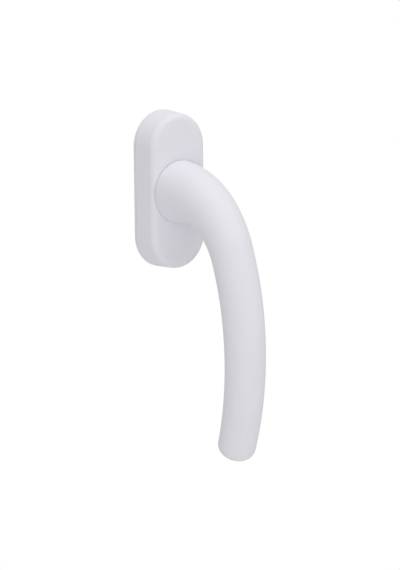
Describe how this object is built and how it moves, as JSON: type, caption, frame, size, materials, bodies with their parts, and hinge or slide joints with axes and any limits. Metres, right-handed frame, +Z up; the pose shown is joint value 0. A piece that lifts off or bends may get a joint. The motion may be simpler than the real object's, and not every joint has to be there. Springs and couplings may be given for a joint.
{
  "type": "window handle",
  "caption": "Curved white tilt-and-turn window handle on an oblong rosette, with detent mechanism, turning cover, square spindle and fixing screws.",
  "frame": {"origin": "centre of the mounting face, where the spindle's axis crosses it", "axes": "+Z up along the rosette, with the lever hanging to -Z in its closed position; -Y towards the room; +Y into the sash along the spindle"},
  "size_m": [0.0304, 0.0814, 0.1482],
  "materials": {
    "lever_paint": "satin white powder coat on die-cast aluminium",
    "cover_paint": "satin white powder coat on die-cast aluminium",
    "cast_zinc": "bare grey zinc casting",
    "plate_nylon": "white glass-filled nylon, moulded",
    "plated_steel": "bright zinc-plated steel",
    "spring_steel": "dark oiled spring steel",
    "bush_plastic": "natural white acetal"
  },
  "bodies": {
    "rosette": {"base_plate": "plate_nylon", "detent_housing": "cast_zinc", "housing_lid": "plated_steel", "housing_rivets": "plated_steel", "hub_bush": "bush_plastic", "rear_bush": "bush_plastic", "detent_spring_left": "spring_steel", "detent_spring_right": "spring_steel", "cover_spring": "spring_steel", "fixing_screws": "plated_steel"},
    "handle": {"lever": "lever_paint", "spindle": "plated_steel", "spindle_pin": "spring_steel", "index_cam": "cast_zinc", "glide_washer": "bush_plastic", "thrust_washer": "plated_steel", "wave_washer": "spring_steel", "retaining_ring": "spring_steel"},
    "cover": {"cover_cap": "cover_paint", "cover_guide_ring": "bush_plastic"}
  },
  "joints": [
    {"name": "lever_turn", "type": "hinge", "parent": "rosette", "child": "handle", "pos_m": [0, 0, 0], "axis": [0, 1, 0], "range_deg": [0, 180], "deforming": ["detent_spring_left", "detent_spring_right"]},
    {"name": "cover_turn", "type": "hinge", "parent": "rosette", "child": "cover", "pos_m": [0, 0, 0], "axis": [0, 1, 0], "range_deg": [0, 90]}
  ]
}
